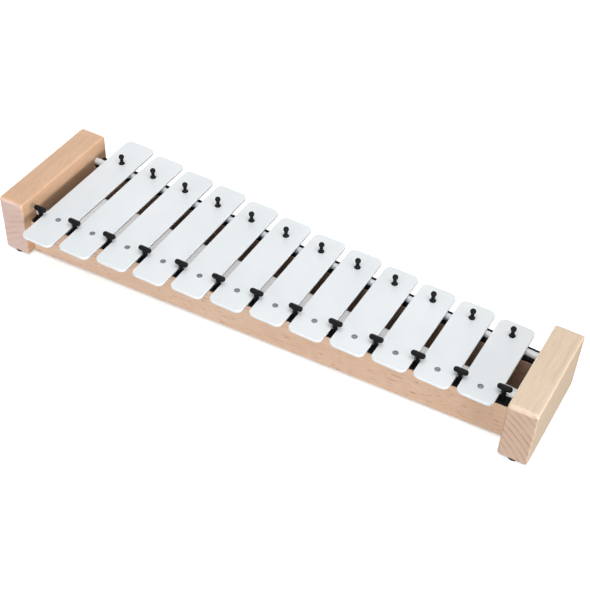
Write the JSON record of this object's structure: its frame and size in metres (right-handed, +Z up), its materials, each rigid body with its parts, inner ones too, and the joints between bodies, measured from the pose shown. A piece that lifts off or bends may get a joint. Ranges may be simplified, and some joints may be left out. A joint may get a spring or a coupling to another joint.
{
  "type": "metallophone",
  "caption": "Tabletop metallophone: white metal bars of falling length on a tapered open beech frame, held by ball pins behind and T-headed pegs in front.",
  "frame": {"origin": "under the middle of the instrument, at the underside of the feet", "axes": "+X along the scale from the longest bar to the shortest, +Y away from the player, +Z up"},
  "size_m": [0.4072, 0.131, 0.0478],
  "materials": {
    "white_lacquer": "smooth white lacquer",
    "beech": "clear satin lacquer",
    "black_plastic": "moulded, slightly glossy",
    "white_tube": "smooth soft tube",
    "black_strip": "matt",
    "black_rubber": "matt"
  },
  "bodies": {
    "frame": {"ball_pin_01": "black_plastic", "ball_pin_02": "black_plastic", "ball_pin_03": "black_plastic", "ball_pin_04": "black_plastic", "ball_pin_05": "black_plastic", "ball_pin_06": "black_plastic", "ball_pin_07": "black_plastic", "ball_pin_08": "black_plastic", "ball_pin_09": "black_plastic", "ball_pin_10": "black_plastic", "ball_pin_11": "black_plastic", "ball_pin_12": "black_plastic", "hook_peg_01": "black_plastic", "hook_peg_02": "black_plastic", "hook_peg_03": "black_plastic", "hook_peg_04": "black_plastic", "hook_peg_05": "black_plastic", "hook_peg_06": "black_plastic", "hook_peg_07": "black_plastic", "hook_peg_08": "black_plastic", "hook_peg_09": "black_plastic", "hook_peg_10": "black_plastic", "hook_peg_11": "black_plastic", "hook_peg_12": "black_plastic", "hook_peg_13": "black_plastic", "dowel_near_left_low": "beech", "dowel_near_left_high": "beech", "dowel_near_right_low": "beech", "dowel_near_right_high": "beech", "dowel_far_left_low": "beech", "dowel_far_left_high": "beech", "dowel_far_right_low": "beech", "dowel_far_right_high": "beech", "rail_near": "beech", "rail_far": "beech", "end_block_left": "beech", "end_block_right": "beech", "tube_near": "white_tube", "tube_far": "white_tube", "strip_near": "black_strip", "strip_far": "black_strip", "foot_left_near": "black_rubber", "foot_left_far": "black_rubber", "foot_right_near": "black_rubber", "foot_right_far": "black_rubber"},
    "bar_01": {"bar_01": "white_lacquer"},
    "bar_02": {"bar_02": "white_lacquer"},
    "bar_03": {"bar_03": "white_lacquer"},
    "bar_04": {"bar_04": "white_lacquer"},
    "bar_05": {"bar_05": "white_lacquer"},
    "bar_06": {"bar_06": "white_lacquer"},
    "bar_07": {"bar_07": "white_lacquer"},
    "bar_08": {"bar_08": "white_lacquer"},
    "bar_09": {"bar_09": "white_lacquer"},
    "bar_10": {"bar_10": "white_lacquer"},
    "bar_11": {"bar_11": "white_lacquer"},
    "bar_12": {"bar_12": "white_lacquer"}
  },
  "joints": [
    {"name": "bar_01_lift", "type": "hinge", "parent": "frame", "child": "bar_01", "pos_m": [-0.1606, -0.03283, 0.0354], "axis": [1, 0, 0], "range_deg": [0, 2.63]},
    {"name": "bar_02_lift", "type": "hinge", "parent": "frame", "child": "bar_02", "pos_m": [-0.1314, -0.03151, 0.0354], "axis": [1, 0, 0], "range_deg": [0, 2.73]},
    {"name": "bar_03_lift", "type": "hinge", "parent": "frame", "child": "bar_03", "pos_m": [-0.1022, -0.0302, 0.0354], "axis": [1, 0, 0], "range_deg": [0, 2.83]},
    {"name": "bar_04_lift", "type": "hinge", "parent": "frame", "child": "bar_04", "pos_m": [-0.073, -0.02889, 0.0354], "axis": [1, 0, 0], "range_deg": [0, 2.93]},
    {"name": "bar_05_lift", "type": "hinge", "parent": "frame", "child": "bar_05", "pos_m": [-0.0438, -0.02757, 0.0354], "axis": [1, 0, 0], "range_deg": [0, 3.05]},
    {"name": "bar_06_lift", "type": "hinge", "parent": "frame", "child": "bar_06", "pos_m": [-0.0146, -0.02626, 0.0354], "axis": [1, 0, 0], "range_deg": [0, 3.18]},
    {"name": "bar_07_lift", "type": "hinge", "parent": "frame", "child": "bar_07", "pos_m": [0.0146, -0.02494, 0.0354], "axis": [1, 0, 0], "range_deg": [0, 3.31]},
    {"name": "bar_08_lift", "type": "hinge", "parent": "frame", "child": "bar_08", "pos_m": [0.0438, -0.02363, 0.0354], "axis": [1, 0, 0], "range_deg": [0, 3.46]},
    {"name": "bar_09_lift", "type": "hinge", "parent": "frame", "child": "bar_09", "pos_m": [0.073, -0.02232, 0.0354], "axis": [1, 0, 0], "range_deg": [0, 3.62]},
    {"name": "bar_10_lift", "type": "hinge", "parent": "frame", "child": "bar_10", "pos_m": [0.1022, -0.021, 0.0354], "axis": [1, 0, 0], "range_deg": [0, 3.8]},
    {"name": "bar_11_lift", "type": "hinge", "parent": "frame", "child": "bar_11", "pos_m": [0.1314, -0.01969, 0.0354], "axis": [1, 0, 0], "range_deg": [0, 4]},
    {"name": "bar_12_lift", "type": "hinge", "parent": "frame", "child": "bar_12", "pos_m": [0.1606, -0.01837, 0.0354], "axis": [1, 0, 0], "range_deg": [0, 4.22]}
  ]
}
